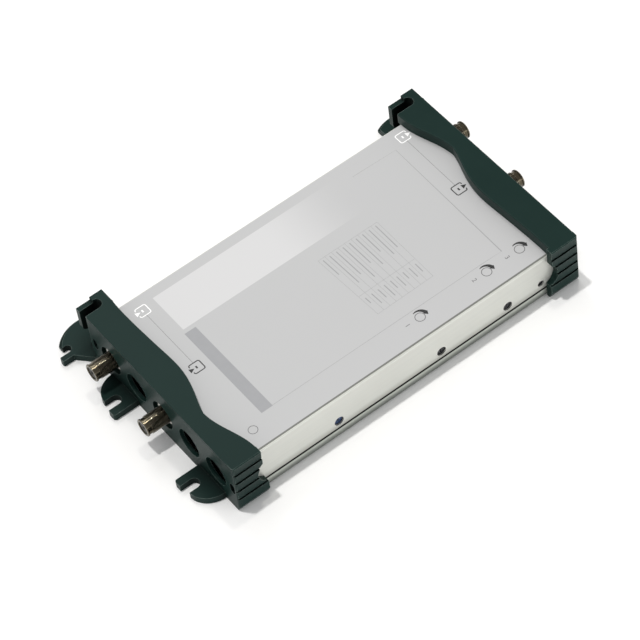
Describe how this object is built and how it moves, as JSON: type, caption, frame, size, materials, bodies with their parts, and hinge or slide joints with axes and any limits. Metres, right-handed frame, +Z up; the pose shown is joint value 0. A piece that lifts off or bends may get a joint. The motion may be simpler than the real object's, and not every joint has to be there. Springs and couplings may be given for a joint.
{
  "type": "tv signal amplifier",
  "caption": "Television line amplifier: a flat folded metal box with moulded end caps, F sockets at both ends, screw lugs, and presets behind holes in the front.",
  "frame": {"origin": "on the underside of the metal box, at the middle of its length and width", "axes": "+X along the box from the left cap to the right one, +Y towards the hook arms and ears at the back, +Z up out of the label"},
  "size_m": [0.2334, 0.143, 0.034],
  "materials": {
    "satin_steel": "satin",
    "zinc_sheet": "satin",
    "printed_film": "matte",
    "cap_plastic": "satin",
    "board_laminate": "satin",
    "nickel": "polished",
    "zinc_screw": "satin",
    "black_resin": "matte",
    "bare_aluminium": "satin",
    "capacitor_sleeve": "gloss",
    "clear_lamp": "gloss",
    "white_insulator": "satin",
    "gold_contact": "polished",
    "preset_blue": "satin",
    "rotor_white": "satin"
  },
  "bodies": {
    "case": {"base_tray": "zinc_sheet", "top_cover": "satin_steel", "label_sheet": "printed_film", "left_end_cap": "cap_plastic", "right_end_cap": "cap_plastic", "circuit_board": "board_laminate", "board_posts": "nickel", "board_screws": "zinc_screw", "cover_screws": "zinc_screw", "cap_screws": "zinc_screw", "input_shield_can": "zinc_sheet", "output_shield_can": "zinc_sheet", "amplifier_module": "black_resin", "heat_bracket": "bare_aluminium", "voltage_regulator": "black_resin", "filter_capacitors": "capacitor_sleeve", "chokes": "black_resin", "signal_chips": "black_resin", "power_lamp": "clear_lamp", "lamp_spacer": "cap_plastic", "socket_washers": "nickel", "socket_nuts": "nickel", "left_middle_socket_shell": "nickel", "left_middle_socket_insulator": "white_insulator", "left_middle_socket_contact": "gold_contact", "left_back_socket_shell": "nickel", "left_back_socket_insulator": "white_insulator", "left_back_socket_contact": "gold_contact", "right_middle_socket_shell": "nickel", "right_middle_socket_insulator": "white_insulator", "right_middle_socket_contact": "gold_contact", "right_back_socket_shell": "nickel", "right_back_socket_insulator": "white_insulator", "right_back_socket_contact": "gold_contact", "preset_housing_1": "preset_blue", "preset_housing_2": "preset_blue", "preset_housing_3": "preset_blue", "preset_housing_4": "preset_blue"},
    "preset_1": {"preset_rotor_1": "rotor_white"},
    "preset_2": {"preset_rotor_2": "rotor_white"},
    "preset_3": {"preset_rotor_3": "rotor_white"},
    "preset_4": {"preset_rotor_4": "rotor_white"}
  },
  "joints": [
    {"name": "preset_1_turn", "type": "hinge", "parent": "case", "child": "preset_1", "pos_m": [-0.0405, -0.0554, 0.0113], "axis": [0, 1, 0], "range_deg": [-135, 135]},
    {"name": "preset_2_turn", "type": "hinge", "parent": "case", "child": "preset_2", "pos_m": [0.0208, -0.0554, 0.0113], "axis": [0, 1, 0], "range_deg": [-135, 135]},
    {"name": "preset_3_turn", "type": "hinge", "parent": "case", "child": "preset_3", "pos_m": [0.0613, -0.0554, 0.0113], "axis": [0, 1, 0], "range_deg": [-135, 135]},
    {"name": "preset_4_turn", "type": "hinge", "parent": "case", "child": "preset_4", "pos_m": [0.0818, -0.0554, 0.0113], "axis": [0, 1, 0], "range_deg": [-135, 135]}
  ]
}
